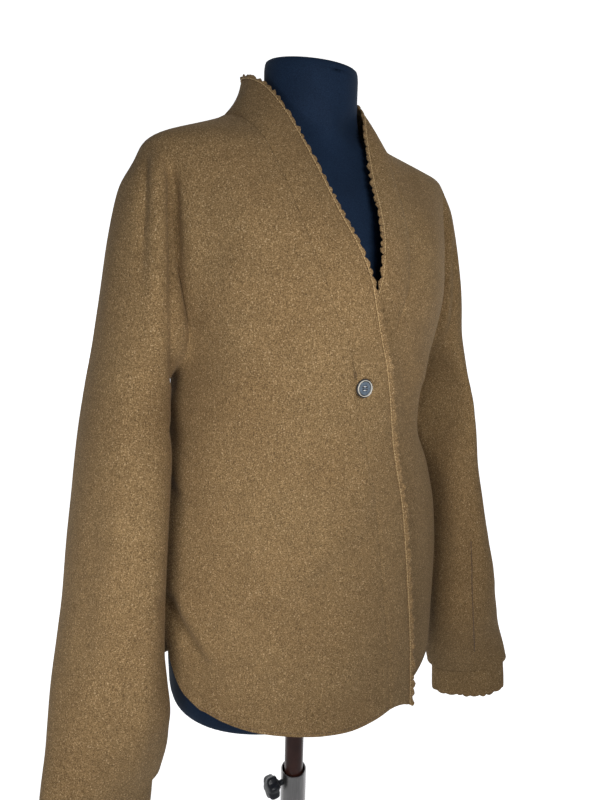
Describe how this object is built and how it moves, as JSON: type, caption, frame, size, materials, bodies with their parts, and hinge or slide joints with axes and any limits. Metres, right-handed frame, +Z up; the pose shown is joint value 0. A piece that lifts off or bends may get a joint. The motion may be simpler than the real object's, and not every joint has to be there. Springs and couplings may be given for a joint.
{
  "type": "wool jacket on dress form",
  "caption": "Kimono-cut wrap jacket in felted wool with long sleeves, narrow standing collar band, scalloped edges and a button, worn by a limbless dress form on an adjustable round-base stand",
  "frame": {"origin": "centre of the base plate's underside, on the floor", "axes": "+Z up along the stand's pole, -Y the way the jacket's front looks, +X the wearer's left"},
  "size_m": [0.5938, 0.38, 1.4954],
  "materials": {
    "wool": "matt felted wool",
    "form_cover": "matt jersey over a rigid foam body",
    "button": "satin",
    "pole": "satin",
    "tube": "satin",
    "black_plastic": "matt",
    "base_paint": "satin"
  },
  "bodies": {
    "stand": {"base_plate": "base_paint", "base_hub": "base_paint", "stand_tube": "tube"},
    "knob": {"clamp_knob": "black_plastic"},
    "pole": {"pole": "pole"},
    "form": {"dress_form": "form_cover", "form_flange": "black_plastic", "back": "wool", "right_front": "wool", "left_front": "wool", "right_band": "wool", "left_band": "wool", "right_edge": "wool", "left_edge": "wool", "right_cuff": "wool", "left_cuff": "wool", "button": "button"}
  },
  "joints": [
    {"name": "height_slide", "type": "slide", "parent": "stand", "child": "pole", "axis": [0, 0, 1], "range_m": [-0.1, 0.25]},
    {"name": "form_swivel", "type": "hinge", "parent": "pole", "child": "form", "pos_m": [0, 0, 0.778], "axis": [0, 0, 1], "continuous": true},
    {"name": "knob_turn", "type": "hinge", "parent": "stand", "child": "knob", "pos_m": [-0.01646, -0.00115, 0.6305], "axis": [-0.9976, -0.0698, 0], "continuous": true}
  ]
}
